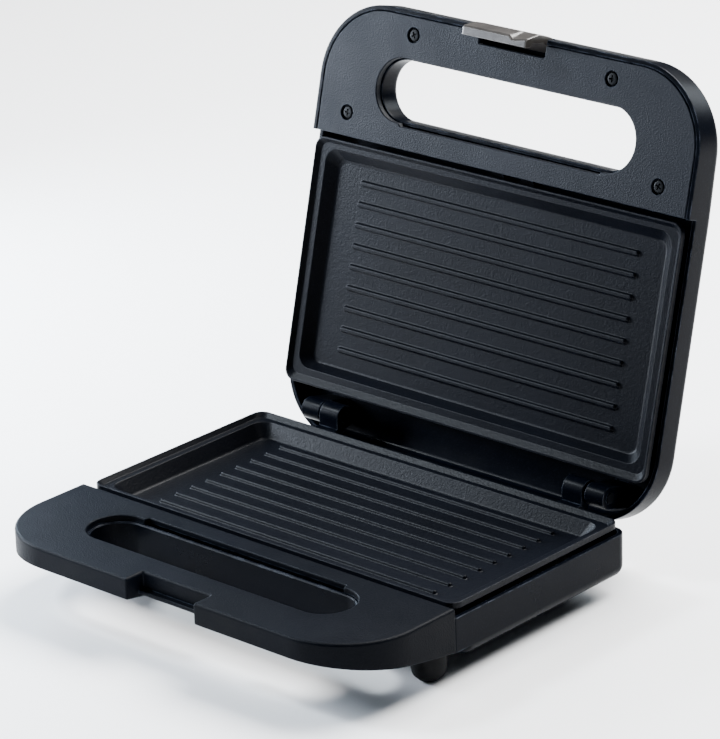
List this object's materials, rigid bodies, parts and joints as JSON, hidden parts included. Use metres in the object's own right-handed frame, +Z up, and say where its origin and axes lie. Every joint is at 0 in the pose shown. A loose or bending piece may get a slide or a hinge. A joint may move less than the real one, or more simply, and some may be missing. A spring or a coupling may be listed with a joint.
{
  "type": "panini press",
  "caption": "Compact contact grill with ribbed non-stick plates, through grip slots, hinged lid and front latch clip, lid standing open.",
  "frame": {"origin": "on the table plane, centred over the whole press with the lid standing open", "axes": "+X to the right seen from the grip side, +Y from the grip towards the hinge, +Z up"},
  "size_m": [0.23, 0.264, 0.2362],
  "materials": {
    "black_plastic": "satin black moulded plastic",
    "grained_plastic": "fine leather grain, dark slate",
    "nonstick": "speckled non-stick coating on die-cast aluminium",
    "steel": "plain steel",
    "black_steel": "blackened screw",
    "rubber": "matt black rubber",
    "grey_plastic": "satin warm grey",
    "ceramic": "matt off-white",
    "red_lens": "clear tinted lens",
    "green_lens": "clear tinted lens"
  },
  "bodies": {
    "base": {"lower_casing": "black_plastic", "base_grip_cover": "grained_plastic", "lower_cooking_plate": "nonstick", "lower_heating_element": "steel", "lower_reflector": "steel", "thermostat": "steel", "thermal_fuse": "ceramic", "terminal_block": "ceramic", "cord_gland": "rubber", "foot_front_left": "rubber", "foot_front_right": "rubber", "foot_rear_left": "rubber", "foot_rear_right": "rubber", "hinge_pin_left": "steel", "hinge_pin_right": "steel", "lower_plate_screw_left": "steel", "lower_plate_screw_right": "steel", "cover_screw_left_1": "steel", "cover_screw_left_2": "steel", "cover_screw_right_1": "steel", "cover_screw_right_2": "steel"},
    "lid": {"upper_casing": "black_plastic", "lid_grip_panel": "grained_plastic", "upper_cooking_plate": "nonstick", "upper_heating_element": "steel", "upper_reflector": "steel", "upper_plate_screw_left": "steel", "upper_plate_screw_right": "steel", "panel_screw_left_1": "black_steel", "panel_screw_left_2": "black_steel", "panel_screw_right_1": "black_steel", "panel_screw_right_2": "black_steel", "latch_pin": "steel", "lens_red": "red_lens", "lens_green": "green_lens"},
    "latch": {"latch": "grey_plastic"}
  },
  "joints": [
    {"name": "lid_hinge", "type": "hinge", "parent": "base", "child": "lid", "pos_m": [0, 0.06924, 0.0371], "axis": [1, 0, 0], "range_deg": [0, 104.2]},
    {"name": "latch_pivot", "type": "hinge", "parent": "lid", "child": "latch", "pos_m": [0, 0.1252, 0.22481], "axis": [1, 0, 0], "range_deg": [0, 12]}
  ]
}
